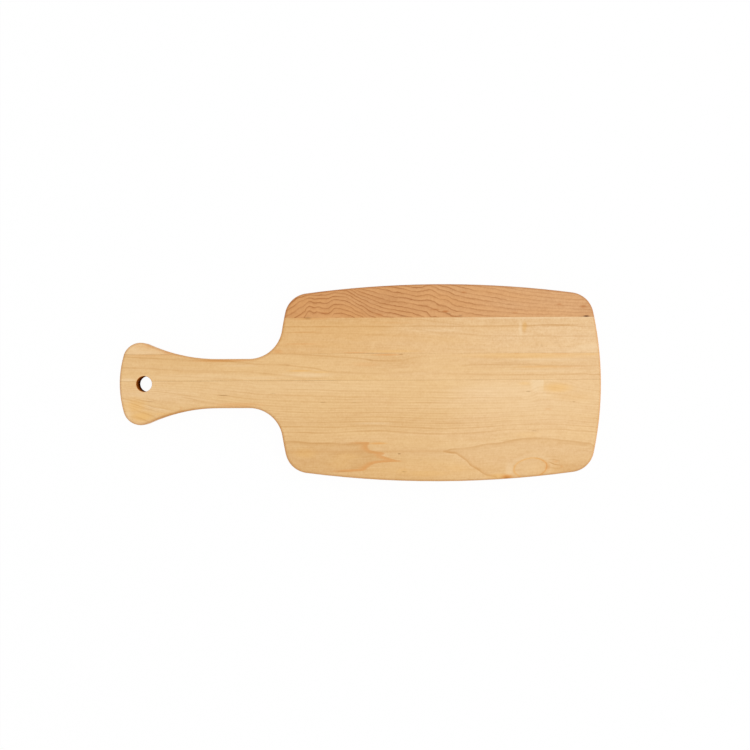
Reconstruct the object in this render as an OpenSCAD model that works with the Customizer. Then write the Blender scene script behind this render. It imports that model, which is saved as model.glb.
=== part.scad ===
// Paddle serving board: an edge-glued maple blade with a flared handle and a hanging hole.
// X runs along the board with the handle at -X, Y is across it, Z is up.
// The origin is on the flat underside, midway along and across the board.

/* [Board] */
// Length of the whole board, handle included
board_l = 432; // [400:1:480]
// Thickness of the board
board_t = 19; // [14:0.5:28]
// Radius of the rounding along all the outer edges
edge_r = 3; // [1:0.25:6]

/* [Blade] */
// Length of the blade, from the root of the neck to the far end
blade_l = 290; // [270:1:310]
// Width of the blade at the middle of its length
blade_w = 177; // [165:1:200]
// Radius of the bow across each end of the blade
blade_end_r = 300; // [240:5:420]
// Radius of the bow along each side of the blade
blade_side_r = 907; // [700:1:1300]
// Radius of the four corners of the blade
blade_corner_r = 22; // [16:0.5:30]

/* [Handle] */
// Width of the neck at its narrowest
neck_w = 44.2; // [40:0.2:48]
// Radius of the hollow where the neck runs out into the blade
neck_fillet_r = 30; // [20:1:38]
// Radius of the long hollow where the neck flares towards the end of the handle
flare_r = 154; // [120:1:180]
// Width of the handle across its two end corners
handle_end_w = 74.1; // [72:0.1:80]
// Radius of the two end corners of the handle
handle_corner_r = 15.8; // [12:0.1:18]
// Radius of the bow across the end of the handle
handle_end_r = 92; // [70:1:130]

/* [Hanging hole] */
// Diameter of the hanging hole
hole_d = 14; // [12:0.5:18]
// Distance from the end of the handle to the middle of the hole
hole_setback = 22.4; // [18:0.1:26]
// Radius of the easing around both mouths of the hole
hole_ease_r = 0.4; // [0.2:0.1:1.6]

/* [Staves] */
// Distance from the centre line to the seam below the heartwood stave
heartwood_seam_y = 58.5; // [50:0.5:66]
// Distance from the centre line to the seam below the back stave
back_seam_y = 26.3; // [25:0.1:32]
// Distance from the centre line to the seam below the spine stave
spine_seam_y = 2.4; // [-4:0.1:5]
// Thickness of the cured glue in each seam
glue_t = 0.15; // [0.1:0.01:0.25]

/* [Hidden] */
$fn = 240;
// How far cutting shapes run past what they cut
overrun = 2;
// A distance past every edge of the board, from anywhere on it
reach = 2 * board_l;
// Colours of the woods and of the glue
pale_maple = "#e2c193";
warm_maple = "#dcb685";
heartwood = "#c79a68";
cured_glue = "#a9793f";

// Where two circles cross, on the left of the line from the first centre to the second
function crossing(a, a_r, b, b_r) =
    let (d = norm(b - a))
    let (along = (b - a) / d)
    let (run = (a_r * a_r - b_r * b_r + d * d) / (2 * d))
    let (rise = sqrt(a_r * a_r - run * run))
    a + run * along + rise * [-along[1], along[0]];
// The point at distance r from c, on the line through p
function toward(c, p, r) = c + (p - c) * (r / norm(p - c));
// The same point on the other side of the centre line
function across(p) = [p[0], -p[1]];

// Centres of the blade's bows: far end, neck end, and the +Y side
blade_x = board_l / 2 - blade_l / 2;
far_bow = [blade_x + blade_l / 2 - blade_end_r, 0];
root_bow = [blade_x - blade_l / 2 + blade_end_r, 0];
side_bow = [blade_x, blade_w / 2 - blade_side_r];
// Centre of the far +Y corner, inside the bows that it touches, and the rays to where it touches them
corner = crossing(far_bow, blade_end_r - blade_corner_r, side_bow, blade_side_r - blade_corner_r);
corner_ray_end = toward(corner, 2 * corner - far_bow, blade_w / 4);
corner_ray_side = toward(corner, 2 * corner - side_bow, blade_w / 4);
corner_wedge = [corner, corner_ray_end, corner_ray_end + corner_ray_side - corner, corner_ray_side];

// Centre of the hollow between the neck and the blade, outside both
fillet_y = neck_w / 2 + neck_fillet_r;
fillet_reach = blade_end_r + neck_fillet_r;
fillet = [root_bow[0] - sqrt(fillet_reach * fillet_reach - fillet_y * fillet_y), fillet_y];
// Halfway from there to the centre of the bow, well inside the blade
root_inner = (fillet + root_bow) / 2;

// Centre of the bow across the handle's end, of its +Y corner, and of the flare
handle_bow = [handle_end_r - board_l / 2, 0];
knuckle_y = handle_end_w / 2 - handle_corner_r;
knuckle_reach = handle_end_r - handle_corner_r;
knuckle = [handle_bow[0] - sqrt(knuckle_reach * knuckle_reach - knuckle_y * knuckle_y), knuckle_y];
flare_y = neck_w / 2 + flare_r;
flare_reach = flare_r + handle_corner_r;
flare_drop = flare_y - knuckle_y;
flare = [knuckle[0] + sqrt(flare_reach * flare_reach - flare_drop * flare_drop), flare_y];
knuckle_ray = toward(handle_bow, knuckle, 2 * handle_end_r);

// Middle of the neck, and of the hanging hole
neck_x = (flare[0] + fillet[0]) / 2;
hole_x = hole_setback - board_l / 2;

// Places its child at a point in plan, in a coarse and a fine step that keep the arcs tangent
module at(p) {
    coarse = [for (v = p) round(v)];
    translate(coarse) translate(p - coarse) children();
}

module both_sides() {
    children();
    mirror([0, 1, 0]) children();
}

module both_ends_of_blade() {
    children();
    translate([2 * blade_x, 0, 0]) mirror([1, 0, 0]) children();
}

// Section across an edge: wood from x = 0 inwards to x = -w, rounded above and below
module edge_section(w) {
    translate([-w, 0]) square([w - edge_r, board_t]);
    translate([-edge_r, edge_r]) square([edge_r, board_t - 2 * edge_r]);
    for (z = [edge_r, board_t - edge_r]) translate([-edge_r, z]) circle(edge_r);
}

// Wood inside a bowed edge
module bowed(c, r) {
    at(c) rotate_extrude() intersection() {
        translate([r, 0]) edge_section(r);
        square([r, board_t]);
    }
}

// Wood outside a hollow edge
module hollowed(c, r) {
    at(c) rotate_extrude() translate([r, 0]) mirror([1, 0]) edge_section(reach);
}

// Upright cell over an outline, taller than the board
module cell(points) {
    translate([0, 0, -overrun]) linear_extrude(board_t + 2 * overrun) polygon(points);
}

// The bows cut to each other, with a disc in each corner that touches them from inside
module blade() {
    difference() {
        intersection() {
            bowed(far_bow, blade_end_r);
            bowed(root_bow, blade_end_r);
            bowed(side_bow, blade_side_r);
            bowed(across(side_bow), blade_side_r);
        }
        both_ends_of_blade() both_sides() cell(corner_wedge);
    }
    both_ends_of_blade() both_sides() bowed(corner, blade_corner_r);
}

// Where the neck runs out into the blade, as far as its hollows touch the bow
module root() {
    intersection() {
        hollowed(fillet, neck_fillet_r);
        hollowed(across(fillet), neck_fillet_r);
        cell([fillet, root_inner, across(root_inner), across(fillet)]);
    }
}

module neck() {
    intersection() {
        translate([-reach / 2, 0, 0]) rotate([90, 0, 90]) linear_extrude(reach) {
            translate([neck_w / 2, 0]) edge_section(neck_w / 2);
            translate([-neck_w / 2, 0]) mirror([1, 0]) edge_section(neck_w / 2);
        }
        cell([[flare[0], -neck_w], [fillet[0], -neck_w], [fillet[0], neck_w], [flare[0], neck_w]]);
    }
}

// The flare, the two end corners and the bowed end of the handle. The corner discs touch both from inside.
module handle_end() {
    both_sides() intersection() {
        hollowed(flare, flare_r);
        cell([[flare[0], 0], flare, knuckle, [knuckle[0], 0]]);
    }
    both_sides() bowed(knuckle, handle_corner_r);
    intersection() {
        bowed(handle_bow, handle_end_r);
        cell([handle_bow, knuckle, knuckle_ray, across(knuckle_ray), across(knuckle)]);
    }
}

// Hanging hole with eased mouths, as the space that it leaves
module hanging_hole() {
    hole_r = hole_d / 2;
    translate([hole_x, 0, 0]) rotate_extrude() difference() {
        translate([0, -overrun]) square([hole_r + hole_ease_r, board_t + 2 * overrun]);
        translate([hole_r, hole_ease_r]) square([2 * hole_ease_r, board_t - 2 * hole_ease_r]);
        for (z = [hole_ease_r, board_t - hole_ease_r])
            translate([hole_r + hole_ease_r, z]) circle(hole_ease_r);
    }
}

// The finished board in one piece, from which each stave and seam takes its slice
module board() {
    blade();
    root();
    neck();
    handle_end();
}

// Slice of the board between two distances from the centre line, and between two places along it
module slice(y_low, y_high, x_low = -reach / 2, x_high = reach / 2) {
    intersection() {
        board();
        translate([x_low, y_low, -overrun]) cube([x_high - x_low, y_high - y_low, board_t + 2 * overrun]);
    }
}

module seam(y, x_low = -reach / 2, x_high = reach / 2) {
    color(cured_glue) slice(y - glue_t / 2, y + glue_t / 2, x_low, x_high);
}

// Wide flat-sawn stave along the front edge, with more than half of the hanging hole
module front_stave() {
    color(warm_maple) difference() {
        slice(-reach / 2, spine_seam_y - glue_t / 2);
        hanging_hole();
    }
}

// Narrow stave along the handle and the middle of the blade
module spine_stave() {
    color(pale_maple) difference() {
        slice(spine_seam_y + glue_t / 2, back_seam_y - glue_t / 2);
        hanging_hole();
    }
}

module back_stave() {
    color(pale_maple) slice(back_seam_y + glue_t / 2, heartwood_seam_y - glue_t / 2, x_low = neck_x);
}

// Darker stave along the back edge of the blade
module heartwood_stave() {
    color(heartwood) slice(heartwood_seam_y + glue_t / 2, reach / 2);
}

// What the outline leaves of the back stave at the handle's end
module handle_ear() {
    color(pale_maple) slice(back_seam_y + glue_t / 2, reach / 2, x_high = neck_x);
}

// Seam below the spine stave, from the hanging hole to the far end of the blade
module glue_line_spine() {
    difference() {
        seam(spine_seam_y, x_low = hole_x);
        hanging_hole();
    }
}

// The same seam between the hanging hole and the end of the handle
module glue_line_tip() {
    difference() {
        seam(spine_seam_y, x_high = hole_x);
        hanging_hole();
    }
}

module glue_line_back() {
    seam(back_seam_y, x_low = neck_x);
}

module glue_line_ear() {
    seam(back_seam_y, x_high = neck_x);
}

module glue_line_heartwood() {
    seam(heartwood_seam_y);
}

front_stave();
spine_stave();
back_stave();
heartwood_stave();
handle_ear();
glue_line_spine();
glue_line_tip();
glue_line_back();
glue_line_ear();
glue_line_heartwood();
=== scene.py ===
import bpy
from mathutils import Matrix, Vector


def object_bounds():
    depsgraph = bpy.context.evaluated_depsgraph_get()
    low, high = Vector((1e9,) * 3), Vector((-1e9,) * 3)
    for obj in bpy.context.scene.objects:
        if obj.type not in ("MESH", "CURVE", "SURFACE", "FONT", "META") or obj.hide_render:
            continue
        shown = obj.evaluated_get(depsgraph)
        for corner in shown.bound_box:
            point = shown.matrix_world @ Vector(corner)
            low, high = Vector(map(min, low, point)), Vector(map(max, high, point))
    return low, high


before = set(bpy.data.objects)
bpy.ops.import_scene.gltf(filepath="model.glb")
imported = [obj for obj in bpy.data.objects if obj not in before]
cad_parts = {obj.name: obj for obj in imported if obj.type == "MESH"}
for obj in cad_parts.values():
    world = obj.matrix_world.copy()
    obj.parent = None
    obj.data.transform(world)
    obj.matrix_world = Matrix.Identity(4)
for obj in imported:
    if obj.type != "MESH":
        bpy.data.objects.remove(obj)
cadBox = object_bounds()
print("frame loaded:", len(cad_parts), "pieces of the board")

# The wood patterns are worked out in millimetres, everything else in metres.
mmPerMetre = 1000.0
boardThickness = cadBox[1].z * mmPerMetre
# Noise runs about as far above this as below it.
noiseMiddle = 0.5


class Field:    # wraps one shader socket, so that a sum of fields adds its own Math nodes
    def __init__(self, tree, socket):
        self.tree = tree
        self.socket = socket

    def node(self, kind, settings=None, inputs=None, output=0):
        made = self.tree.nodes.new(kind)
        for name, value in (settings or {}).items():
            setattr(made, name, value)
        for name, value in (inputs or {}).items():
            if isinstance(value, Field):
                self.tree.links.new(value.socket, made.inputs[name])
            else:
                made.inputs[name].default_value = value
        return Field(self.tree, made.outputs[output])

    def beside(self, output):    # another output of the same node
        return Field(self.tree, self.socket.node.outputs[output])

    def math(self, operation, *others, clamp=False):
        inputs = dict(enumerate((self,) + others))
        return self.node("ShaderNodeMath", {"operation": operation, "use_clamp": clamp}, inputs)

    def __add__(self, other):
        return self.math("ADD", other)

    def __sub__(self, other):
        return self.math("SUBTRACT", other)

    def __rsub__(self, other):
        return self.node("ShaderNodeMath", {"operation": "SUBTRACT"}, {0: other, 1: self})

    def __mul__(self, other):
        return self.math("MULTIPLY", other)

    __radd__ = __add__
    __rmul__ = __mul__

    def scaled(self, gain, offset):    # gain times the field, plus the offset
        return self.math("MULTIPLY_ADD", gain, offset)

    def step(self, start, end):    # rises smoothly from 0 at start to 1 at end
        inputs = {"Value": self, "From Min": start, "From Max": end}
        return self.node("ShaderNodeMapRange", {"interpolation_type": "SMOOTHSTEP"}, inputs)

    def ramp(self, start, end):    # rises straight from 0 at start to 1 at end
        return self.math("MULTIPLY_ADD", 1 / (end - start), -start / (end - start), clamp=True)

    def blend(self, first, second):    # self is the share of the second number
        return self.node("ShaderNodeMix", {"data_type": "FLOAT"}, {0: self, 2: first, 3: second})

    def tint(self, first, second):    # self is the share of the second colour
        return self.node("ShaderNodeMix", {"data_type": "RGBA"}, {0: self, 6: first, 7: second}, 2)

    def along(self, points):    # the number that a smooth curve through given points has at this field
        ins = [point[0] for point in points]
        outs = [point[1] for point in points]
        low = min(outs)
        span = max(outs) - low
        reach = ins[-1] - ins[0]
        share = self.ramp(ins[0], ins[-1])
        curve = self.node("ShaderNodeFloatCurve", {}, {"Value": share})
        setPoints(curve, [((a - ins[0]) / reach, (b - low) / span) for a, b in zip(ins, outs)])
        if low == 0 and span == 1:
            return curve
        return curve.scaled(span, low)

    def noise(self, patch, detail=1.0, roughness=0.5):    # patch is the size of a patch along each axis
        spread = self.node("ShaderNodeVectorMath", {"operation": "DIVIDE"}, {0: self, 1: patch})
        inputs = {"Vector": spread, "Scale": 1.0, "Detail": detail, "Roughness": roughness}
        return self.node("ShaderNodeTexNoise", {}, inputs)

    def waver(self, patch, reach, detail=1.0, roughness=0.5):    # noise about 0, over this reach in all
        return self.noise(patch, detail, roughness).scaled(reach, -reach * noiseMiddle)


def setPoints(curve, places):
    mapping = curve.socket.node.mapping
    line = mapping.curves[0]
    for share, height in places[1:-1]:
        line.points.new(share, height)
    for end in (0, -1):
        line.points[end].location = places[end]
    mapping.update()


def source(tree, kind, output):    # a field that starts from an input node
    return Field(tree, tree.nodes.new(kind).outputs[output])


def tone(red, green, blue):    # a colour written as on screen, made linear
    def linear(level):
        share = level / 255
        return share / 12.92 if share <= 0.04045 else ((share + 0.055) / 1.055) ** 2.4
    return (linear(red), linear(green), linear(blue), 1.0)


def largest(fields):
    total = fields[0]
    for field in fields[1:]:
        total = total.math("MAXIMUM", field)
    return total


def startMaterial(name):
    material = bpy.data.materials.new(name)
    material.use_nodes = True
    material.node_tree.nodes.clear()
    return material, material.node_tree


def endTree(shader, kind="ShaderNodeOutputMaterial"):
    end = shader.tree.nodes.new(kind)
    shader.tree.links.new(shader.socket, end.inputs[0])


def dress(node, material):
    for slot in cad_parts[node].material_slots:
        slot.material = material
    print("dressed", node)


# Every growth line wanders to and fro across the grain by this reach, in mm
wander = {"patch": (38, 5, 5), "reach": 0.9}


def boardPlace(tree, lean):    # place on the board in mm; the lines lean, so they carry on down the sides
    place = source(tree, "ShaderNodeTexCoord", "Object")
    place = place.node("ShaderNodeVectorMath", {"operation": "SCALE"}, {0: place, "Scale": mmPerMetre})
    x = place.node("ShaderNodeSeparateXYZ", {}, {0: place})
    y = x.beside(1)
    z = x.beside(2)
    drift = place.waver(wander["patch"], wander["reach"])
    return place, x, y + z.scaled(-lean, lean * boardThickness) + drift, z


def grainPlace(x, across, z):    # place along and across the growth lines, for patterns that follow them
    return x.node("ShaderNodeCombineXYZ", {}, {0: x, 1: across, 2: z})


# Shapes of a growth line across its width, in mm
lineShape = [(-2.4, 0), (-1.1, 0.15), (-0.45, 0.75), (0, 1), (0.4, 0.75), (0.85, 0.1), (1.3, 0)]
fineShape = [(-1.2, 0), (-0.5, 0.35), (0, 1), (0.45, 0.35), (1.1, 0)]
softBelow = [(-4.5, 0), (-2.0, 0.22), (-0.7, 0.7), (0, 1), (0.5, 0.7), (1.0, 0.1), (1.5, 0)]
softAbove = [(-1.5, 0), (-1.0, 0.1), (-0.5, 0.7), (0, 1), (0.7, 0.7), (2.0, 0.22), (4.5, 0)]


def stroke(x, y, shape, path):    # a line of grain drawn through points of x, y and strength
    way = x.along([(a, b) for a, b, strength in path])
    force = x.along([(a, strength) for a, b, strength in path])
    return (y - way).along(shape) * force


def strokes(x, y, shape, paths):
    return largest([stroke(x, y, shape, path) for path in paths])


def patch(x, y, area):    # 1 inside a soft-edged box; each side is where it starts and where it is full
    return x.step(*area["left"]) * x.step(*area["right"]) * y.step(*area["bottom"]) * y.step(*area["top"])


# Soft oval spots on the upper face: where they start and are full, in radii, and how deep they reach, in mm
spotShape = {"starts": 1.3, "full": 0.2, "depth": 4.0}


def spots(place, ovals):    # each oval is x, y, half length, half width and strength
    found = []
    depth = spotShape["depth"]
    for x, y, halfLength, halfWidth, strength in ovals:
        inputs = {0: place, 1: (1 / halfLength, 1 / halfWidth, 1 / depth),
                  2: (-x / halfLength, -y / halfWidth, -boardThickness / depth)}
        near = place.node("ShaderNodeVectorMath", {"operation": "MULTIPLY_ADD"}, inputs)
        away = near.node("ShaderNodeVectorMath", {"operation": "LENGTH"}, {0: near}, 1)
        inputs = {"Value": away, "From Min": spotShape["starts"], "From Max": spotShape["full"],
                  "To Max": strength}
        found.append(away.node("ShaderNodeMapRange", {"interpolation_type": "SMOOTHSTEP"}, inputs))
    return largest(found)


def allSpots(place, look):    # the spots of each kind that a stave has
    return {kind: spots(place, ovals) for kind, ovals in look["spots"].items()}


# A growth line darkens slowly from one side and ends sharply on the other, in mm
ringShape = {"before": 0.9, "after": 0.6, "foot": 0.1, "tail": 5}


def ringLines(rings):    # the darkness across the grain, from the place and strength of each growth line
    points = []
    for place, strength in sorted(rings):
        points.append((place - ringShape["before"], ringShape["foot"] * strength))
        points.append((place, strength))
        points.append((place + ringShape["after"], 0))
    return [(points[0][0] - ringShape["tail"], 0)] + points + [(points[-1][0] + ringShape["tail"], 0)]


def courses(x, y, levels):    # a number from given courses along x, each of which holds at its own y
    (firstY, first), (secondY, second), (thirdY, third) = levels.items()
    field = y.ramp(firstY, secondY).blend(x.along(first), x.along(second))
    return y.ramp(secondY, thirdY).blend(field, x.along(third))


def unevenness(grain, look):    # how strongly the growth lines show, from place to place
    uneven = look["uneven"]
    return grain.noise(uneven["patch"], uneven["detail"]).scaled(uneven["gain"], uneven["offset"])


# The layers of mottling that every stave has, each with its patch in mm, along the growth lines or not
veilLayers = {
    "broad": {"along": "grain", "patch": (60, 8, 12), "detail": 1.0, "roughness": 0.5},
    "mottle": {"along": "board", "patch": (8, 3.2, 5), "detail": 2.0, "roughness": 0.6},
    "streak": {"along": "grain", "patch": (30, 1.0, 1.0), "detail": 3.0, "roughness": 0.65},
    "fibre": {"along": "grain", "patch": (7, 0.3, 0.3), "detail": 3.0, "roughness": 0.65},
    "curl": {"along": "board", "patch": (1.6, 2.2, 4), "detail": 2.0, "roughness": 0.7},
}

# What is alike on all the staves: specks, layers seen along the sides, rims with their painted lit and
# shaded sides, roughness and relief
woodFinish = {
    "speckPatch": (2.2, 0.45, 0.45), "speckShows": (0.68, 0.8), "sidePatch": (80, 40, 0.9),
    "sideShows": (0.5, 0.72), "sideSlope": (0.7, 1), "rimSlope": (0.12, 0.95),
    # The next two pick the rounded edges that take more painted shade (facing -x) and the painted lit tone
    # (facing +x, towards the lamp)
    "handleward": (-0.2, -0.9), "handlewardRim": 0.15, "litFacing": (0.3, 0.9), "roughSpread": 0.1,
    "fibreHeight": 0.6, "streakHeight": 0.8, "darkDepth": 0.6, "bump": 0.25, "bumpDistance": 0.0002,
    "specular": 0.22,
}

# The look that the staves start from, with colours as on screen. "fade" is the share of the right tone.
# "broad" to "curl" are how far each layer of mottling veils the wood with the tone of its lines.
woodLook = {
    "left": (235, 194, 137), "right": (247, 211, 161), "pale": (248, 220, 178), "warm": (220, 151, 80),
    # The two rim colours are the rounded edges' tones: the first partly oiled end grain and partly painted
    # shade, the second a painted lit tone for edges facing the lamp
    "amber": (240, 186, 100), "line": (196, 138, 66), "dark": (146, 90, 18), "rim": (198, 124, 46),
    "paintedLitRim": (250, 160, 70),
    "fade": [(-216, 0.25), (-60, 0), (60, 0.45), (216, 1)],
    "broad": 0.2, "mottle": 0.3, "streak": 0.45, "fibre": 0.35, "curl": 0.45, "veil": 0.16,
    "specks": 0.1, "sides": 0.3, "edge": 0.42, "roughness": 0.42,
    "uneven": {"patch": (26, 2.2, 4), "detail": 1.0, "gain": 1.2, "offset": 0.4},
}


def finishWood(place, grain, x, look, marks):
    ways = {"board": place, "grain": grain}
    layers = {}
    for name, layer in veilLayers.items():
        layers[name] = ways[layer["along"]].noise(layer["patch"], layer["detail"], layer["roughness"])
    veil = sum(layer * look[name] for name, layer in layers.items())
    middle = sum(look[name] for name in layers) * noiseMiddle
    veil = veil.math("ADD", look["veil"] - middle, clamp=True)
    if "shade" in marks:
        veil = veil.math("ADD", marks["shade"], clamp=True)
    share = (x.along(look["fade"]) + layers["broad"]).math("ADD", -noiseMiddle, clamp=True)
    colour = share.tint(tone(*look["left"]), tone(*look["right"]))
    colour = veil.tint(colour, tone(*look["line"]))
    for kind in ("pale", "amber", "warm", "line"):
        if kind in marks:
            colour = marks[kind].tint(colour, tone(*look[kind]))
    dark = grain.noise(woodFinish["speckPatch"]).step(*woodFinish["speckShows"]) * look["specks"]
    if "dark" in marks:
        dark = dark.math("MAXIMUM", marks["dark"])
    colour = dark.tint(colour, tone(*look["dark"]))
    colour = finishRim(place, colour, look)
    roughness = (layers["streak"] + dark) * woodFinish["roughSpread"] + look["roughness"]
    height = layers["fibre"] * woodFinish["fibreHeight"] + layers["streak"] * woodFinish["streakHeight"]
    height = height - dark * woodFinish["darkDepth"]
    bump = height.node("ShaderNodeBump", {}, {
        "Strength": woodFinish["bump"], "Distance": woodFinish["bumpDistance"], "Height": height})
    shader = colour.node("ShaderNodeBsdfPrincipled", {}, {
        "Base Color": colour, "Roughness": roughness, "Normal": bump,
        "Specular IOR Level": woodFinish["specular"]})
    if "wall" in marks:
        shader = boreShader(shader, layers["fibre"], marks)
    endTree(shader)


def finishRim(place, colour, look):    # the growth layers along the sides, and the rounded edges, darker partly as oiled end grain and partly as painted shade
    normal = source(place.tree, "ShaderNodeNewGeometry", "Normal")
    normalX = normal.node("ShaderNodeSeparateXYZ", {}, {0: normal})
    normalZ = normalX.beside(2)
    slope = (1 - normalZ * normalZ).math("SQRT")
    side = place.noise(woodFinish["sidePatch"], detail=2.0, roughness=0.6).step(*woodFinish["sideShows"])
    side = side * slope.step(*woodFinish["sideSlope"]) * look["sides"]
    colour = side.tint(colour, tone(*look["line"]))
    # Edges facing -x, away from the lamp, are darkened more: painted shade
    force = normalX.step(*woodFinish["handleward"]).scaled(woodFinish["handlewardRim"], look["edge"])
    # Edges facing +x, towards the lamp, take the brighter rim colour: a painted lit edge
    rimLitAndShaded = normalX.step(*woodFinish["litFacing"]).tint(tone(*look["rim"]), tone(*look["paintedLitRim"]))
    return (slope.step(*woodFinish["rimSlope"]) * force).tint(colour, rimLitAndShaded)


# The hanging hole, which cuts the front and the spine stave. Its wall has no oil, and it is painted darker
# from the mouth down, as painted shade inside the bore.
hangingHole = {
    "x": -193.6, "y": 0.0, "radius": 7.0, "skin": 0.1, "outside": 0.3, "mouth": 1.0, "depth": 14.0,
    # top and bottom are the wall's colours at the mouth and deep in the bore; the darkening between them is
    # painted shade
    "top": (198, 112, 32), "bottom": (108, 50, 6), "uneven": 0.3, "roughness": 0.9,
}


def boreMarks(place, z):    # the wall of the bore, and how far down it a point is
    radius = hangingHole["radius"]
    centre = {0: place, 1: (1, 1, 0), 2: (-hangingHole["x"], -hangingHole["y"], 0)}
    away = place.node("ShaderNodeVectorMath", {"operation": "MULTIPLY_ADD"}, centre)
    away = away.node("ShaderNodeVectorMath", {"operation": "LENGTH"}, {0: away}, 1)
    wall = away.step(radius + hangingHole["outside"], radius + hangingHole["skin"])
    depth = z.step(boardThickness - hangingHole["mouth"], boardThickness - hangingHole["depth"])
    return {"wall": wall, "depth": depth}


def boreShader(shader, fibre, marks):
    uneven = hangingHole["uneven"]
    # The wall darkens with depth below the mouth: painted shade
    shadeDown = (marks["depth"] + fibre * uneven).math("ADD", -uneven * noiseMiddle, clamp=True)
    wallShaded = shadeDown.tint(tone(*hangingHole["top"]), tone(*hangingHole["bottom"]))
    wall = wallShaded.node("ShaderNodeBsdfPrincipled", {}, {
        "Base Color": wallShaded, "Roughness": hangingHole["roughness"], "Specular IOR Level": 0.0})
    return shader.node("ShaderNodeMixShader", {}, {0: marks["wall"], 1: shader, 2: wall})


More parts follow.
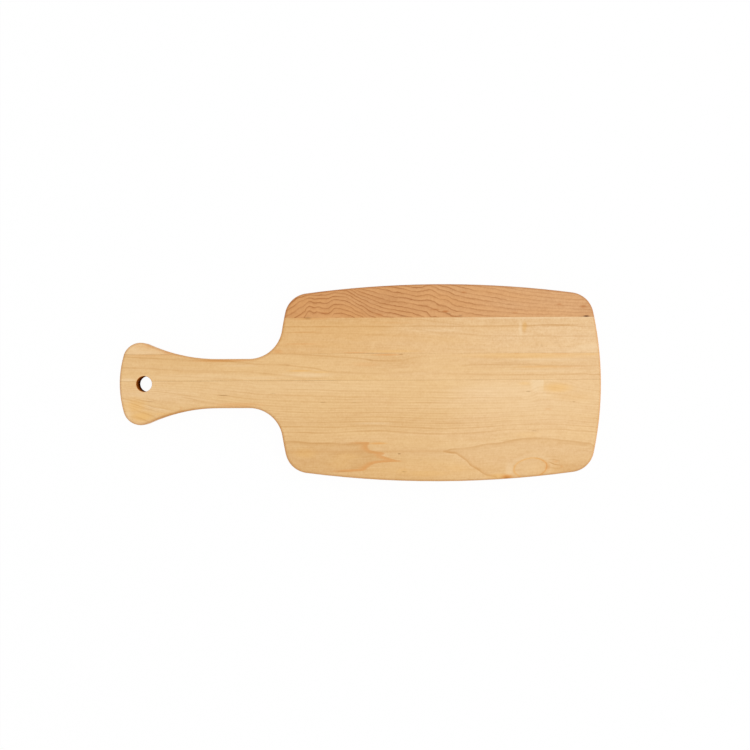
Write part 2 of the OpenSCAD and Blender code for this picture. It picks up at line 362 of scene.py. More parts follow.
# The front stave, from the handle's end to the far end of the blade. Two tips of flat-sawn grain reach its
# face: the ragged flame on the left and the arch on the right, which has an oval ring in it.
frontStave = dict(woodLook)
frontStave.update({
    "left": (236, 197, 141), "right": (245, 209, 160),
    "fade": [(-216, 0.42), (-165, 0.2), (-60, 0), (60, 0.15), (120, 0.55), (165, 0.55), (216, 0.4)],
    "lean": 0.35,
    "warp": {
        0: [(-216, 12), (-200, 11), (-180, 10.2), (-150, 9.2), (-120, 5.5), (-100, 4), (-90, 2.4),
            (-60, 2.2), (-40, 1.5), (-20, 0.5), (0, 0), (20, -0.5), (40, -1.3), (110, -3), (140, -3),
            (150, -2), (156, 1.5), (162, 3.6), (180, 2), (200, -3), (216, -6)],
        -20: [(-216, 27), (-210, 25), (-200, 22), (-190, 20), (-180, 17.5), (-160, 13), (-150, 11.5),
              (-140, 9.5), (-120, 7), (-100, 4), (-90, 3.2), (-60, 1.2), (-30, 0.4), (0, 0), (20, 0),
              (110, -0.7), (150, 0), (165, 1.2), (180, 0.6), (200, -1.5), (216, -3)],
        -45: [(-216, 30), (-200, 25), (-180, 19), (-100, 2), (-70, -0.9), (-50, -1.2), (-30, -1.5),
              (-20, -1.1), (-10, -0.5), (0, 0), (20, 0.2), (30, -0.6), (50, -2), (70, -2.8), (90, -2.4),
              (110, -1.5), (120, -0.6), (130, 0.7), (150, 1.1), (165, 1.1), (180, 0.8), (190, -0.2),
              (200, -0.8), (216, -2.4)],
    },
    "rings": [(-0.5, 0.1), (-3.2, 0.12), (-7, 0.2), (-9.6, 0.12), (-12.2, 0.26), (-14.8, 0.12),
              (-17.3, 0.28), (-19.8, 0.12), (-22.2, 0.24), (-24.2, 0.12), (-26.2, 0.26), (-28.2, 0.1),
              (-30.3, 0.24), (-32.3, 0.12), (-34.3, 0.3), (-36.3, 0.1), (-38.3, 0.34), (-40.5, 0.08),
              (-42.8, 0.36), (-46, 0.08), (-49.5, 0.08)],
    "ringFade": [(-216, 0.55), (-150, 0.6), (-90, 0.9), (-40, 1), (30, 1), (110, 0.7), (160, 0.55),
                 (216, 0.65)],
    "uneven": {"patch": (24, 2.2, 4), "detail": 2.0, "gain": 2.2, "offset": -0.1},
    "drawnUneven": (0.4, 0.6),
    "handleLines": [
        [(-213, -12.2, 0.1), (-200, -12.6, 0.12), (-190, -13.6, 0.2), (-180, -16, 0.22),
         (-170, -17.8, 0.15), (-158, -18.8, 0)],
        [(-212, -13, 0.1), (-205, -14.3, 0.15), (-197, -17, 0.12), (-190, -18.6, 0.15),
         (-180, -20.6, 0.2), (-170, -21.9, 0)],
        [(-212, -19, 0.1), (-203, -22.3, 0.18), (-198, -25, 0.2), (-190, -27.2, 0.2),
         (-184, -29.2, 0.15), (-177, -30.5, 0)],
        [(-210, -28.6, 0.15), (-200, -30.4, 0.2), (-192, -33.8, 0.2), (-187, -35.8, 0.1)]],
    "fineLines": [
        [(-213, -12.6, 0.25), (-208, -14, 0.35), (-203, -15.4, 0.3), (-198, -16.8, 0.4),
         (-193, -18.3, 0.3), (-188, -19.8, 0.45), (-184, -21, 0.35), (-179, -22.2, 0)],
        [(-205, -12.6, 0.2), (-198, -14.2, 0.35), (-192, -15.6, 0.5), (-186, -16.6, 0.3),
         (-178, -18.3, 0.25), (-170, -20, 0)],
        [(-209, -16, 0.1), (-203, -18, 0.35), (-196, -20.6, 0.3), (-190, -22.4, 0.35), (-182, -25, 0)],
        [(-200, -24.4, 0.2), (-194, -26, 0.4), (-188, -28.4, 0.35), (-182, -30, 0)],
        [(-202, -29, 0.1), (-196, -31, 0.35), (-190, -33.6, 0.4), (-185, -35.4, 0)],
        [(-160, -12.2, 0), (-152, -13.6, 0.35), (-144, -15.4, 0.35), (-134, -17, 0.25), (-124, -18, 0)],
        [(-188, -6.4, 0), (-180, -6.9, 0.3), (-170, -8.4, 0.3), (-160, -9.8, 0.3), (-148, -11.4, 0.2),
         (-136, -12.6, 0)]],
    "handleRim": [(-198, -36.9, 0), (-190, -35.2, 0.55), (-180, -30.9, 0.8), (-170, -27.7, 0.8),
                  (-160, -25.2, 0.75), (-150, -23.3, 0.6), (-140, -22.2, 0.35), (-128, -21.7, 0)],
    "paleLines": [
        [(-196, -18.4, 0), (-190, -19.6, 0.4), (-184, -21.4, 0.35), (-178, -22.8, 0.3),
         (-172, -23.6, 0)],
        [(-212, -14.8, 0.3), (-206, -16.4, 0.3), (-198, -18.8, 0.2), (-190, -21.8, 0)]],
    "lowShadeAcross": (-44, -60),
    "lowShadeAlong": [(-70, 0.15), (40, 0.14), (90, 0.07), (216, 0.05)],
    "lightPatch": {
        "left": (149, 156), "right": (165, 163.5), "bottom": (-16, -3), "top": (2.3, 2),
        "strength": 0.5,
    },
    "flame": {
        "end": [(-80.8, -50), (-80, -24), (-79.3, -6), (-78.8, 2), (-77.6, 5), (-76, 6.5), (-74.5, 8.4),
                (-72.8, 11.5), (-71.7, 17), (-70.8, 28), (-70.1, 37), (-69.3, 33), (-68, 28.5),
                (-65.7, 21.5), (-64.6, 19.4), (-63.5, 21.6), (-62.2, 20.5), (-61, 13), (-60, 9),
                (-58.6, 7.4), (-57, 6.8), (-56, 6.8), (-55.2, 7.4), (-54.2, 8.2), (-53.1, 8),
                (-52.4, -66)],
        "endEdge": (-1, 2), "lowEdge": (-81, -79), "topEdge": (-52.3, -53.2),
        "lineAbove": [(-68, -52.8, 0.3), (-65, -51.9, 0.5), (-60, -52, 0.5), (-50, -53, 0.45),
                      (-40, -53.8, 0.5), (-30, -53.7, 0.5), (-20, -54.3, 0.4), (-10, -54.5, 0.4),
                      (0, -54.3, 0.3), (8, -54, 0)],
        "bandHeight": 1.9, "bandWidth": 3, "bandEdge": (8, -1),
        "bandStart": [(-80, -20), (-64, -18), (-56, -4), (-52, -4)],
        "bandStartEdge": (-12, 8), "shadeAlong": (-18, 4), "shade": (0.1, 0.08), "warm": 0.6,
    },
    "arch": {
        "top": [(72, -61.5), (74, -61.2), (80, -59.8), (90, -59), (100, -58), (110, -55.8),
                (120, -54.8), (130, -53.2), (140, -51.2), (150, -50.1), (160, -49.9), (170, -50.5),
                (180, -52.2), (190, -53.3), (205, -55), (216, -60)],
        "bottom": [(72, -61.6), (78, -62.3), (85, -63.2), (88, -65), (93, -68.4), (98, -73.5),
                   (106, -78.5), (109, -81), (115, -83.3), (130, -88), (216, -90)],
        "edge": (0, 1.5),
        "lineAbove": [(73.5, -61.5, 0.2), (78, -60.6, 0.5), (81, -59.7, 0.45), (90, -59, 0.35),
                      (100, -58, 0.4), (105, -57, 0.4), (110, -55.8, 0.4), (115, -55.1, 0.35),
                      (120, -54.8, 0.4), (125, -54.3, 0.4), (130, -53.2, 0.4), (140, -51.2, 0.4),
                      (150, -50.1, 0.45), (160, -49.9, 0.4), (170, -50.5, 0.3), (180, -52.2, 0.35),
                      (190, -53.3, 0.4), (200, -54.5, 0.45), (205, -55, 0.4), (208, -56.5, 0.35),
                      (212, -60, 0)],
        "lineBelow": [(73.5, -61.5, 0.2), (78, -62.3, 0.6), (82, -62.9, 0.6), (85, -63.2, 0.5),
                      (88, -65, 0.45), (93, -68.4, 0.45), (96, -71, 0.45), (98, -73.5, 0.5),
                      (102, -76, 0.45), (106, -78.5, 0.55), (109, -81, 0.45), (115, -83.3, 0.4),
                      (122, -84.5, 0)],
        "shade": 0.1, "warm": 0.35,
    },
    "oval": {
        "centre": (152, -76.6), "size": (14.8, 8.9), "skew": 0.1, "wobblePatch": (5, 3, 8),
        "wobble": 0.1, "patchyPatch": (4, 3, 8), "patchy": (1.4, 0.35), "depth": (9, 17.5),
        "ring": [(0, 0), (0.84, 0), (0.92, 0.2), (0.975, 0.9), (1.0, 1), (1.03, 0.6), (1.07, 0.1),
                 (1.12, 0), (2, 0)],
        "ringWarm": [(135, 0.4), (150, 0.25), (160, 0.45), (168, 0.95)],
        "ringAmber": 0.45,
        "halo": [(0, 0.3), (0.7, 0.2), (0.9, 0), (1.1, 0.1), (1.22, 0.5), (1.4, 0.25), (1.7, 0),
                 (2, 0)],
        "haloStrength": 0.25,
        "wrinkles": [
            [(167, -71, 0), (170, -71.9, 0.55), (173, -73.3, 0.75), (177, -74.1, 0.6), (180, -74.4, 0)],
            [(168, -69.4, 0), (171, -69.1, 0.35), (175, -69.6, 0.4), (179, -70.6, 0)],
            [(166, -75.4, 0), (170, -76, 0.3), (175, -76.8, 0.3), (180, -76.8, 0)]],
    },
    "spots": {
        "dark": [(130.6, -85.4, 2.6, 1.2, 0.38), (-33.8, -17.2, 3.2, 0.55, 0.32),
                 (-5.4, -17.2, 2.2, 0.5, 0.22), (34.6, -63.5, 1.7, 0.6, 0.65),
                 (54, -69, 1.3, 0.5, 0.22), (38.6, -79.5, 2.2, 0.6, 0.35), (150.4, -8.1, 2.4, 0.6, 0.4),
                 (155.4, -43.4, 2.8, 0.5, 0.35), (-122.6, -10.5, 5.5, 0.6, 0.5),
                 (-78, -8.9, 2.5, 0.45, 0.25), (191.2, -17.5, 1.6, 0.5, 0.3), (-17, -79, 6, 0.5, 0.2),
                 (-188, -15.8, 4, 0.5, 0.25)],
        "warm": [(-160.5, -22.5, 1.6, 2.4, 0.25), (168, -24, 4, 0.9, 0.25), (131, -84.6, 6, 2.4, 1),
                 (15.5, -54.1, 8, 1.1, 0.5), (174.3, -71, 3, 1.1, 0.35), (180, -75.4, 1.6, 1.6, 0.25),
                 (-110, -19, 26, 2.2, 0.35), (30, -70, 9, 0.9, 0.35), (168, -76, 2, 4, 0.3)],
        "amber": [(176, -5, 15, 5, 0.45), (190, -13, 22, 5, 0.12), (147, -1, 6, 1.8, 0.25),
                  (-202, -20, 12, 8, 0.45), (-196, -29, 12, 6, 0.5), (-50, -63, 12, 5, 0.25),
                  (60, -81, 30, 4, 0.25), (38, -79, 9, 4, 0.25), (-12, -66, 12, 4, 0.15),
                  (86, -77, 16, 5, 0.2), (150, -47, 12, 3, 0.12), (-174, -27, 14, 1.6, 0.3),
                  (125, -84, 16, 3, 0.4), (60, -78, 80, 9, 0.12), (165, -78, 30, 9, 0.12),
                  (-18, -72, 12, 7, 0.12), (131, -85.2, 4, 1.2, 0.6), (16, -54, 9, 1, 0.5)],
        "shade": [(-60, -48, 50, 4, 0.09), (-20, -74, 60, 11, 0.05), (90, -79, 40, 6, 0.07),
                  (192, -78, 24, 8, 0.17), (182, -84, 22, 4, 0.2), (10, -83, 60, 3, 0.06),
                  (80, -6, 34, 6, 0.03), (30, -36, 130, 12, 0.09), (60, -86, 110, 7, 0.1),
                  (110, -48, 30, 5, 0.1), (190, -12, 18, 5, 0.08), (-196, -29, 12, 6, 0.1),
                  (165, -86, 20, 5, 0.2)],
        "pale": [(130, -8, 60, 10, 0.26), (150, -16, 100, 20, 0.16), (-50, -3, 120, 7, 0.13),
                 (17, -59, 9, 2.4, 0.13), (21, -64.4, 6, 2.4, 0.18), (120, -60, 150, 6, 0.07),
                 (133, -79, 4, 9, 0.3), (12, -36, 20, 1, 0.3), (152, -20, 26, 9, 0.22),
                 (165, -11, 3, 6, 0.3), (-194, -9, 14, 2.5, 0.2), (152, -76, 12, 6, 0.12),
                 (-170, -9, 34, 8, 0.14), (-208, -26, 3, 12, 0.3)],
    },
})


def flameShape(x, y, flame):    # 1 inside the flame, and the dark band inside its ragged end
    reach = y.along(flame["end"]) - x
    inside = reach.step(*flame["endEdge"]) * y.step(*flame["lowEdge"]) * y.step(*flame["topEdge"])
    above = y.math("ADD", flame["bandHeight"]).along(flame["end"])
    below = y.math("ADD", -flame["bandHeight"]).along(flame["end"])
    heart = (above.math("MINIMUM", below) - x).math("MINIMUM", reach.math("ADD", -flame["bandWidth"]))
    begun = (x - y.along(flame["bandStart"])).step(*flame["bandStartEdge"])
    return inside, inside * heart.step(*flame["bandEdge"]) * begun


def archShape(x, y, arch):    # 1 inside the arch
    below = (x.along(arch["top"]) - y).step(*arch["edge"])
    above = (y - x.along(arch["bottom"])).step(*arch["edge"])
    return below * above


def ovalShape(place, x, y, z, oval):    # the oval ring, and the paler wood about it
    centreX, centreY = oval["centre"]
    halfLength, halfWidth = oval["size"]
    skew = oval["skew"]
    upward = (y - x.scaled(skew, -skew * centreX)).scaled(1 / halfWidth, -centreY / halfWidth)
    forward = x.scaled(1 / halfLength, -centreX / halfLength)
    away = (upward * upward + forward * forward).math("SQRT")
    away = away + place.waver(oval["wobblePatch"], oval["wobble"])
    patchy = place.noise(oval["patchyPatch"]).scaled(*oval["patchy"])
    return away.along(oval["ring"]) * z.step(*oval["depth"]) * patchy, away.along(oval["halo"])


material, tree = startMaterial("frontStaveMaple")
place, x, y, z = boardPlace(tree, frontStave["lean"])
across = y - courses(x, y, frontStave["warp"])
grain = grainPlace(x, across, z)
uneven = unevenness(grain, frontStave)
flame = frontStave["flame"]
arch = frontStave["arch"]
oval = frontStave["oval"]
inFlame, flameBand = flameShape(x, y, flame)
inArch = archShape(x, y, arch)
ring, halo = ovalShape(place, x, y, z, oval)
rings = across.along(ringLines(frontStave["rings"])) * uneven * x.along(frontStave["ringFade"])
archBelow = stroke(x, y, softAbove, arch["lineBelow"])
drawn = [strokes(x, y, lineShape, frontStave["handleLines"]),
         strokes(x, y, fineShape, frontStave["fineLines"] + oval["wrinkles"]),
         stroke(x, y, softAbove, frontStave["handleRim"]),
         stroke(x, y, softBelow, flame["lineAbove"]),
         stroke(x, y, softBelow, arch["lineAbove"]),
         archBelow]
marks = allSpots(place, frontStave)
marks["line"] = rings.math("MAXIMUM", largest(drawn) * uneven.scaled(*frontStave["drawnUneven"]))
marks["shade"] = (y.step(*frontStave["lowShadeAcross"]) * x.along(frontStave["lowShadeAlong"])
                  + inFlame * x.step(*flame["shadeAlong"]).scaled(*flame["shade"])
                  + inArch * arch["shade"] + marks["shade"])
marks["pale"] = largest([patch(x, y, frontStave["lightPatch"]) * frontStave["lightPatch"]["strength"],
                         strokes(x, y, fineShape, frontStave["paleLines"]),
                         halo * oval["haloStrength"], marks["pale"]])
marks["warm"] = largest([flameBand * flame["warm"], archBelow * arch["warm"],
                         ring * x.along(oval["ringWarm"]), marks["warm"]])
marks["amber"] = marks["amber"].math("MAXIMUM", ring * oval["ringAmber"])
marks.update(boreMarks(place, z))
finishWood(place, grain, x, frontStave, marks)
dress("front_stave", material)


# The other maple staves are alike: straight lines drawn through listed points over a faint straight grain.
straightLook = dict(woodLook)
straightLook.update({
    "lines": [],
    "drawn": 0.6, "faint": 0.16, "faintLength": 90, "faintWidths": (0.9, 2.5),
    "faintShows": (0.6, 0.78), "bored": False,
})


def straightStave(node, name, look):
    material, tree = startMaterial(name)
    place, x, y, z = boardPlace(tree, look["lean"])
    grain = grainPlace(x, y - x.along(look["sway"]), z)
    marks = allSpots(place, look)
    marks["line"] = grain.noise((look["faintLength"],) + look["faintWidths"]).step(*look["faintShows"])
    marks["line"] = marks["line"] * look["faint"]
    if look["lines"]:
        drawn = strokes(x, y, lineShape, look["lines"]) * unevenness(grain, look) * look["drawn"]
        marks["line"] = drawn.math("MAXIMUM", marks["line"])
    if look["bored"]:
        marks.update(boreMarks(place, z))
    finishWood(place, grain, x, look, marks)
    dress(node, material)


# The spine stave, which runs the whole length beside the middle of the handle
spineStave = dict(straightLook)
spineStave.update({
    "left": (235, 195, 138), "right": (240, 203, 153), "lean": 0.3, "drawn": 0.7, "bored": True,
    "sway": [(-216, 4), (-100, 2.5), (-60, 0), (-30, -3), (0, -4), (40, -2.5), (100, 0), (216, -1)],
    "lines": [
        [(-62, 26.1, 0.3), (-50, 25.7, 0.55), (-40, 25, 0.5), (-30, 24.2, 0.5), (-20, 23.5, 0.4),
         (-10, 23, 0.5), (0, 22, 0.5), (5, 21.3, 0.6), (8, 20.8, 0.75), (15, 20, 0.55), (20, 19.8, 0.6),
         (30, 19.8, 0.5), (38, 20.3, 0.45), (45, 22, 0.45), (50, 22.8, 0.4), (60, 24, 0)],
        [(-214, 24.7, 0.3), (-200, 23.5, 0.55), (-190, 23, 0.55), (-180, 22.5, 0.5), (-172, 22, 0.4),
         (-160, 21.3, 0.4), (-150, 21, 0.4), (-140, 20.7, 0.6), (-130, 20.6, 0.7), (-120, 20.2, 0.7),
         (-110, 19.2, 0.6), (-100, 18.1, 0.5), (-90, 17.1, 0.4), (-80, 17, 0.35), (-70, 16.5, 0.4),
         (-65, 16.3, 0.5), (-60, 15.7, 0.4), (-50, 14.7, 0.45), (-45, 14.2, 0.5), (-40, 13.3, 0.5),
         (-35, 12, 0.4), (-30, 10.8, 0.4), (-25, 10, 0.35), (-20, 9.6, 0.3), (-10, 9.3, 0.3),
         (0, 8.8, 0.35), (10, 8.7, 0.35), (20, 8.8, 0.3), (35, 9.5, 0.25), (60, 10.5, 0.1),
         (80, 11, 0)],
        [(-214, 15.2, 0.3), (-200, 14.3, 0.45), (-190, 14, 0.4), (-180, 13, 0.35), (-170, 12.5, 0.3),
         (-160, 11.5, 0.35), (-150, 11.4, 0.4), (-135, 11.2, 0.4), (-120, 10.7, 0.4),
         (-100, 10.3, 0.35), (-90, 9.3, 0.4), (-80, 8.5, 0.4), (-70, 7.2, 0.4), (-60, 6, 0.35),
         (-50, 4.8, 0.3), (-40, 4, 0.2), (-28, 3.6, 0)],
        [(-186, 8.4, 0.1), (-170, 7, 0.25), (-160, 6.5, 0.3), (-150, 6, 0.25), (-140, 5.3, 0.2),
         (-130, 4.7, 0.2), (-120, 4.2, 0.2), (-105, 3.6, 0)],
        [(90, 15.2, 0), (100, 15.8, 0.4), (110, 16, 0.4), (120, 16.2, 0.45), (130, 16.3, 0.45),
         (140, 16, 0.4), (150, 16, 0.4), (160, 15.5, 0.4), (167, 15, 0.4), (180, 14.9, 0.3),
         (200, 14.8, 0.25), (216, 14.6, 0.2)],
        [(60, 8.6, 0), (90, 7.8, 0.3), (100, 7.5, 0.35), (110, 7.2, 0.35), (120, 7, 0.35),
         (130, 7.2, 0.4), (150, 7, 0.45), (160, 6.7, 0.45), (170, 7, 0.35), (190, 7.2, 0.4),
         (200, 7.5, 0.4), (208, 6.8, 0.4), (216, 7, 0.3)],
        [(95, 23.2, 0), (108, 23, 0.25), (120, 22.9, 0.25), (130, 22.4, 0)]],
    "spots": {
        "dark": [(36.5, 25.6, 2.6, 0.5, 0.5), (9, 20.7, 2, 0.5, 0.2), (-65, 16.3, 2, 0.4, 0.25)],
        "warm": [(24, 25.2, 15, 0.9, 0.65), (-54, 11.3, 11, 0.7, 0.2), (158, 14.1, 18, 0.8, 0.2),
                 (184, 13.9, 22, 0.8, 0.2), (5, 16.8, 14, 2.4, 0.2), (-125, 20.4, 28, 1.3, 0.55),
                 (-185, 25.2, 30, 1.6, 0.2), (140, 26, 3, 0.8, 0.3), (165, 26, 3, 0.7, 0.3),
                 (180, 25.6, 9, 1, 0.25)],
        "amber": [(-54, 11.2, 13, 0.9, 0.5), (-36, 10, 10, 0.8, 0.3), (150, 24.2, 66, 3.2, 0.3),
                  (205, 25, 14, 1.6, 0.25), (160, 14, 26, 1.6, 0.2)],
        "shade": [(-150, 20, 60, 7, 0.09), (30, 19, 30, 8, 0.16), (-30, 24, 40, 3, 0.05),
                  (150, 17, 90, 9, 0.07)],
        "pale": [(-48, 7.2, 26, 2.6, 0.35), (-108, 16, 20, 1.6, 0.15), (170, 20, 40, 2.2, 0.25),
                 (160, 10.2, 45, 1.2, 0.2), (-208, 3.6, 8, 2, 0.4), (-145, 6, 60, 3.4, 0.2),
                 (-90, 5, 30, 2, 0.2)],
    },
})
straightStave("spine_stave", "spineMaple", spineStave)

# The back stave, plain and fine, with a ripple across the grain
backStave = dict(straightLook)
backStave.update({
    "left": (230, 186, 127), "right": (240, 205, 158), "lean": 0.2, "mottle": 0.4, "curl": 0.6,
    "faint": 0.14, "faintLength": 70,
    "sway": [(-90, 1.5), (-30, 0.8), (30, 0), (50, -1), (100, -6), (130, -7), (216, -7.5)],
    "lines": [
        [(-70, 51, 0.2), (-50, 50.8, 0.2), (-35, 50.5, 0.25), (-10, 50.6, 0.25), (20, 50.8, 0.2),
         (40, 50, 0.15), (60, 49.6, 0)],
        [(-70, 45.8, 0.3), (-60, 45.3, 0.4), (-50, 45.7, 0.4), (-42, 45.8, 0.45), (-38, 45, 0.35),
         (-25, 44.7, 0.35), (-10, 44, 0.3), (0, 44, 0.3), (10, 43.3, 0.35), (20, 43, 0.3),
         (35, 42, 0.25), (60, 41, 0.15), (80, 40.6, 0)],
        [(40, 57.6, 0.1), (48, 56.9, 0.4), (55, 56.5, 0.4), (60, 55.8, 0.4), (70, 54.5, 0.4),
         (80, 53.3, 0.4), (90, 51.7, 0.45), (100, 50.7, 0.35), (110, 50, 0.45), (120, 50, 0.35),
         (137, 49.6, 0.3), (144, 49.6, 0)],
        [(42, 48.8, 0.1), (50, 48, 0.35), (58, 46.5, 0.4), (65, 45.5, 0.35), (75, 44.5, 0.4),
         (85, 44.5, 0.35), (95, 43.5, 0.35), (100, 43, 0.4), (110, 42, 0.35), (120, 41.8, 0.35),
         (130, 41.6, 0.3), (150, 41.3, 0.4), (165, 41.5, 0.35), (180, 41, 0.35), (195, 41.2, 0.4),
         (207, 41, 0.3), (212, 41, 0)],
        [(146, 50.6, 0.65), (150, 50.6, 0.8), (155, 50.9, 0.8), (160, 51.2, 0.85), (165, 51.4, 0.85),
         (180, 51.2, 0.8), (190, 50.9, 0.5), (195, 50.2, 0.5), (205, 49.6, 0.45), (211, 49.4, 0.2)],
        [(-84, 27.3, 0.2), (-76, 27.2, 0.35), (-70, 26.9, 0.4), (-60, 26.2, 0.4), (-52, 25.8, 0)]],
    "spots": {
        "dark": [(-46.8, 57.9, 4, 1, 0.4), (158, 34, 1.6, 1.2, 0.06), (162.5, 33, 1.3, 1.4, 0.16),
                 (175.5, 35.3, 2.4, 0.7, 0.14), (15, 26.6, 16, 0.5, 0.2)],
        "warm": [(-52, 35.2, 18, 1, 0.3), (-45, 57.6, 24, 1.1, 0.4), (-32, 50.4, 8, 0.6, 0.3),
                 (98, 57, 8, 0.8, 0.3), (-4, 27.2, 12, 0.8, 0.45), (-50, 45.6, 14, 0.7, 0.3),
                 (30, 54, 30, 1.2, 0.15), (-74, 28.5, 5, 2.4, 0.35)],
        "amber": [(147.2, 50, 2.4, 5, 0.35), (28, 28.4, 30, 1.4, 0.3)],
        "shade": [(146.8, 48.6, 2.4, 6, 0.2), (147.4, 51.4, 2.6, 3, 0.4), (180, 51, 36, 1.6, 0.15),
                  (-20, 55.4, 130, 4.6, 0.12), (150, 55.4, 90, 4.6, 0.08)],
        "pale": [(150, 57.7, 80, 1.1, 0.25), (143.4, 48, 1.8, 7, 0.4), (160, 28, 60, 1.4, 0.14),
                 (205, 32, 14, 4, 0.3), (70, 46.7, 24, 1.4, 0.2)],
    },
})
straightStave("back_stave", "backMaple", backStave)

# The small ear at the handle's end, cut from the same plain maple
handleEar = dict(straightLook)
handleEar.update({
    "left": (240, 203, 152), "right": (236, 195, 141),
    "fade": [(-216, 0), (-195, 0.2), (-165, 1)],
    "lean": 0.2, "faintLength": 40, "faintShows": (0.55, 0.75),
    "sway": [(-216, 10.8), (216, -10.8)],
    "spots": {
        "warm": [(-190, 33.5, 12, 2, 0.2), (-172, 27.6, 5, 1.5, 0.35)],
        "pale": [(-194, 28.2, 18, 1.8, 0.2), (-203, 31, 8, 2, 0.15)],
    },
})
straightStave("handle_ear", "earMaple", handleEar)

# The heartwood stave along the back edge, with its wavy open rings. Its courses count the rings at three
# distances across the stave, and a line is drawn where the count is whole.
heartStave = dict(woodLook)
heartStave.update({
    # Its two rim colours, as on the other staves, hold painted shade and a painted lit tone for the rounded
    # edges
    "left": (217, 158, 98), "right": (225, 175, 123), "line": (168, 102, 46), "rim": (168, 92, 28),
    "paintedLitRim": (214, 128, 60), "dark": (98, 52, 12), "warm": (188, 112, 48),
    "fade": [(-68, 0), (60, 0.4), (210, 1)],
    "broad": 0.16, "mottle": 0.34, "streak": 0.3, "fibre": 0.45, "curl": 0.5, "veil": 0.12,
    "slide": 1.0, "lean": 0.5,
    "count": {
        58.7: [(-68, 2.8), (-57.2, 1.8), (-50, 0.8), (-46.2, -0.45), (-42.8, 0.03), (-39.1, -0.36),
               (-34.3, 0.18), (-29.4, 0.2), (-25.5, -0.5), (-22.6, -1.05), (-20.7, -1), (-16.7, -0.9),
               (-11.7, -0.6), (-7.7, -0.25), (-4.7, 0.2), (0.3, 0.7), (3.3, 1.5), (8.3, 2.6),
               (12.3, 2.9), (16.3, 3.3), (21.3, 3.8), (30.3, 4.1), (36.3, 4.6), (40.3, 4.8), (45.3, 5),
               (50.3, 5.5), (54.3, 5.8), (58.3, 6.2), (62.3, 6.85), (66.3, 7), (72.3, 7.2), (76.3, 7.4),
               (82.3, 7.8), (90, 8), (100, 8.4), (110, 8.7), (125, 8.85), (140, 9.1), (160, 9.25),
               (180, 9.5), (210, 9.8)],
        73.7: [(-68, 5.8), (-60.6, 4.9), (-55.5, 4.1), (-51.5, 3.8), (-48.4, 3.4), (-45.5, 3.1),
               (-42, 3.4), (-37.7, 3.35), (-30.7, 3.4), (-26.7, 2.9), (-23.7, 2.7), (-19.7, 2.77),
               (-14.7, 2.95), (-11.7, 3.25), (-7.7, 3.9), (-4.7, 4.5), (0.3, 5.4), (5.3, 6.1),
               (10.3, 6.8), (20.3, 7.7), (30.3, 8.25), (40.3, 8.45), (50.3, 8.95), (55.3, 8.95),
               (60.3, 8.85), (63.3, 9.05), (66.3, 9.3), (69.3, 9.65), (75.3, 9.8), (78.3, 10.1),
               (82.3, 10.7), (90, 11.2), (100, 11.65), (110, 12), (120, 12.4), (135, 13.2), (150, 13.8),
               (180, 14.6), (210, 15.2)],
        88.7: [(-68, 8.5), (-60, 8), (-46, 8.2), (-20, 7.5), (0, 10.5), (20, 11.2), (40, 12.3),
               (50, 12.9), (55, 12.6), (60, 12.2), (66, 12.6), (70, 13.2), (80, 14), (90, 14.8),
               (100, 15.4), (120, 16.3), (150, 18), (210, 20.4)],
    },
    "shiver": 0.5, "shiverPatch": (5, 4, 5), "sideRings": 0.32, "ringWidth": 4,
    "firstRing": (0.55, 0.35), "firstRingLeft": (-23, -27),
    "ringShape": [(0, 1), (0.07, 0.5), (0.15, 0.06), (0.3, 0), (0.6, 0.08), (0.8, 0.22), (0.92, 0.6),
                  (1, 1)],
    "ringFade": [(-70, 1), (60, 1), (85, 0.85), (110, 0.6), (150, 0.45), (210, 0.4)],
    "uneven": {"patch": (14, 3.5, 4), "detail": 2.0, "gain": 2.0, "offset": -0.15},
    "spots": {
        "dark": [(-46.8, 58.8, 3.4, 0.6, 0.3), (202.6, 59.1, 3, 0.9, 1), (38.5, 59.9, 3.2, 0.6, 0.3),
                 (79.4, 61.8, 2.6, 0.7, 0.3), (89.8, 60.2, 2, 0.7, 0.35)],
        "warm": [(-32, 62.8, 5.5, 1, 0.4), (17, 61.2, 5, 1.4, 0.35), (67, 65.6, 5, 0.9, 0.45),
                 (76.5, 63.8, 3.4, 1.2, 0.8), (93, 80.8, 3, 1.2, 0.5), (139, 62.3, 3, 1, 0.4),
                 (178.5, 69.8, 2.6, 1, 0.4), (200, 67.6, 3, 1.6, 0.5)],
        "shade": [(22, 75, 22, 8, 0.16), (8, 66, 16, 8, 0.12), (205, 66, 14, 10, 0.1),
                  (45, 66, 26, 5, 0.06), (-6, 80, 16, 5, 0.08)],
    },
})
material, tree = startMaterial("heartwoodMaple")
place, x, y, z = boardPlace(tree, heartStave["lean"])
x = x - heartStave["slide"]
shiver = place.waver(heartStave["shiverPatch"], heartStave["shiver"], detail=2.0, roughness=0.6)
outermost = max(heartStave["count"])
count = courses(x, y, heartStave["count"]) + shiver
count = count + (y - outermost).math("MAXIMUM", 0) * heartStave["sideRings"]
grain = grainPlace(x, count * heartStave["ringWidth"], z)
started = 1 - count.step(*heartStave["firstRing"]) * x.step(*heartStave["firstRingLeft"])
marks = allSpots(place, heartStave)
marks["line"] = count.math("FRACT").along(heartStave["ringShape"]) * started
marks["line"] = marks["line"] * unevenness(grain, heartStave) * x.along(heartStave["ringFade"])
finishWood(place, grain, x, heartStave, marks)
dress("heartwood_stave", material)


# The glue lines, a hair of dark resin that is patchy along its length
glueLook = {
    "light": (206, 160, 100), "dark": (96, 48, 10), "patch": (7, 6, 6), "patchy": 0.9,
    "gritPatch": (1.2, 0.4, 0.4), "grit": 0.2, "roughness": 0.5, "specular": 0.1,
    "strength": [(-216, 0.7), (-200, 0.5), (-185, 0.6), (-160, 0.6), (-141, 1), (-123, 0.7),
                 (-105, 0.5), (-87, 0.85), (-51, 0.9), (-33, 0.7), (3, 0.4), (30, 0.3), (110, 0.5),
                 (150, 0.3), (216, 0.35)],
}


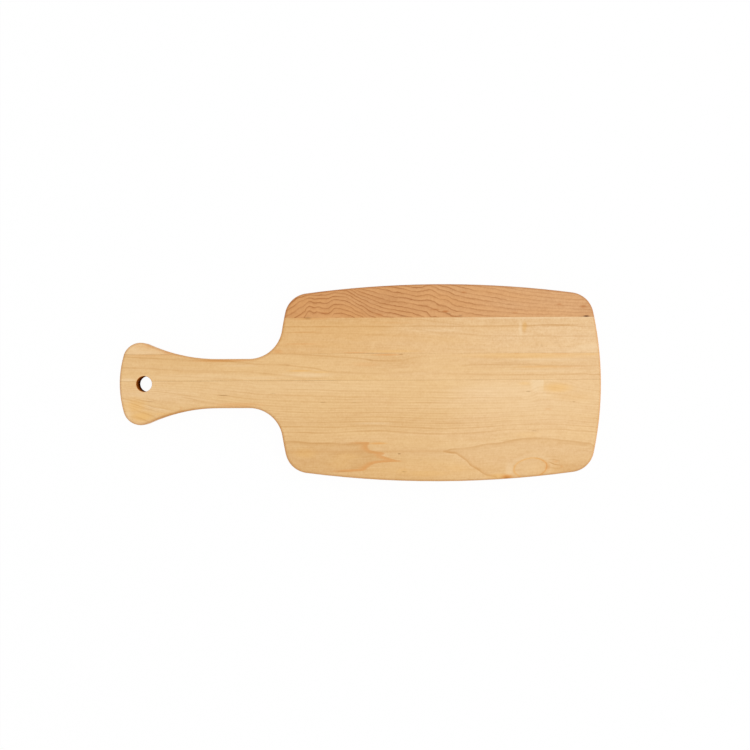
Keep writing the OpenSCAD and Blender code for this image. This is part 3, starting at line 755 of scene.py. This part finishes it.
def glueMaterial(name, look):
    material, tree = startMaterial(name)
    place, x, y, z = boardPlace(tree, 0)
    patchy = place.waver(look["patch"], look["patchy"])
    share = (patchy + x.along(look["strength"])).math("ADD", 0, clamp=True)
    colour = share.tint(tone(*look["light"]), tone(*look["dark"]))
    # Glue on the bore wall takes the deep wall colour: painted shade
    colour = boreMarks(place, z)["wall"].tint(colour, tone(*hangingHole["bottom"]))
    roughness = place.noise(look["gritPatch"], detail=2.0).scaled(look["grit"], look["roughness"])
    endTree(colour.node("ShaderNodeBsdfPrincipled", {}, {
        "Base Color": colour, "Roughness": roughness, "Specular IOR Level": look["specular"]}))
    return material


spineGlue = glueMaterial("spineGlue", glueLook)
dress("glue_line_spine", spineGlue)
dress("glue_line_tip", spineGlue)

faintGlue = dict(glueLook)
faintGlue.update({
    "light": (212, 164, 106),
    "strength": [(-216, 0.4), (-150, 0.3), (-60, 0.2), (0, 0.4), (40, 0.1), (216, 0.15)],
})
backGlue = glueMaterial("backGlue", faintGlue)
dress("glue_line_back", backGlue)
dress("glue_line_ear", backGlue)

edgeGlue = dict(glueLook)
edgeGlue.update({
    "light": (220, 168, 110),
    "strength": [(-70, 0.2), (-50, 0.4), (-30, 0.1), (60, 0), (90, 0.2), (190, 0.1), (203, 1),
                 (210, 0.2)],
})
dress("glue_line_heartwood", glueMaterial("heartwoodGlue", edgeGlue))

# The table top under the board, and the studio around it. To the camera both are plain white.
studio = {
    "floorSize": 8.0, "floorColour": (0.97, 0.97, 0.97, 1), "white": (1, 1, 1, 1), "whiteShare": 0.97,
    "worldLevel": 0.7, "lampSize": 2.6, "lampPlace": (0.7, 0.5, 2.3), "lampPower": 25.0,
}


def cameraRays(tree):    # 1 for what the camera sees, directly, mirrored or through something
    path = source(tree, "ShaderNodeLightPath", "Is Camera Ray")
    return largest([path, path.beside("Is Glossy Ray"), path.beside("Is Transmission Ray")])


bpy.ops.object.select_all(action="DESELECT")
bpy.ops.mesh.primitive_plane_add(size=studio["floorSize"], location=(0, 0, 0))
floor = bpy.context.object
floor.name = "floor"
material, tree = startMaterial("paleFloor")
seen = cameraRays(tree)
plain = seen.node("ShaderNodeBsdfDiffuse", {}, {"Color": studio["floorColour"]})
white = seen.node("ShaderNodeEmission", {}, {"Color": studio["white"], "Strength": 1.0})
endTree(seen.node("ShaderNodeMixShader", {}, {0: seen * studio["whiteShare"], 1: plain, 2: white}))
floor.data.materials.append(material)

world = bpy.data.worlds.new("studio")
bpy.context.scene.world = world
world.use_nodes = True
world.node_tree.nodes.clear()
seen = cameraRays(world.node_tree)
soft = seen.node("ShaderNodeBackground", {}, {"Color": studio["white"], "Strength": studio["worldLevel"]})
white = seen.node("ShaderNodeBackground", {}, {"Color": studio["white"], "Strength": 1.0})
endTree(seen.node("ShaderNodeMixShader", {}, {0: seen, 1: soft, 2: white}), "ShaderNodeOutputWorld")

lamp = bpy.data.lights.new("softbox", "AREA")
lamp.size = studio["lampSize"]
lamp.energy = studio["lampPower"]
lampObject = bpy.data.objects.new("softbox", lamp)
lampObject.location = studio["lampPlace"]
lampObject.visible_camera = False
bpy.context.scene.collection.objects.link(lampObject)
print("studio set")

# The camera looks straight down on the board. At the height of the rim a pixel is metresPerPixel wide, and
# the middle of the board is at boardPixel in the picture.
view = {
    "eyeHeight": 1.0165, "rimHeight": 0.0165, "imageWidth": 750, "metresPerPixel": 0.0008975,
    "boardPixel": (360.34, 383.04), "turn": -0.0043,
}
camera = bpy.data.cameras.new("camera")
cameraObject = bpy.data.objects.new("camera", camera)
bpy.context.scene.collection.objects.link(cameraObject)
cameraObject.location = (0, 0, view["eyeHeight"])
cameraObject.rotation_euler = (0, 0, view["turn"])
seenWidth = view["imageWidth"] * view["metresPerPixel"]
camera.lens = camera.sensor_width * (view["eyeHeight"] - view["rimHeight"]) / seenWidth
camera.shift_x = 0.5 - view["boardPixel"][0] / view["imageWidth"]
camera.shift_y = view["boardPixel"][1] / view["imageWidth"] - 0.5
bpy.context.scene.camera = cameraObject
bpy.context.scene.view_settings.view_transform = "Standard"
print("camera set")
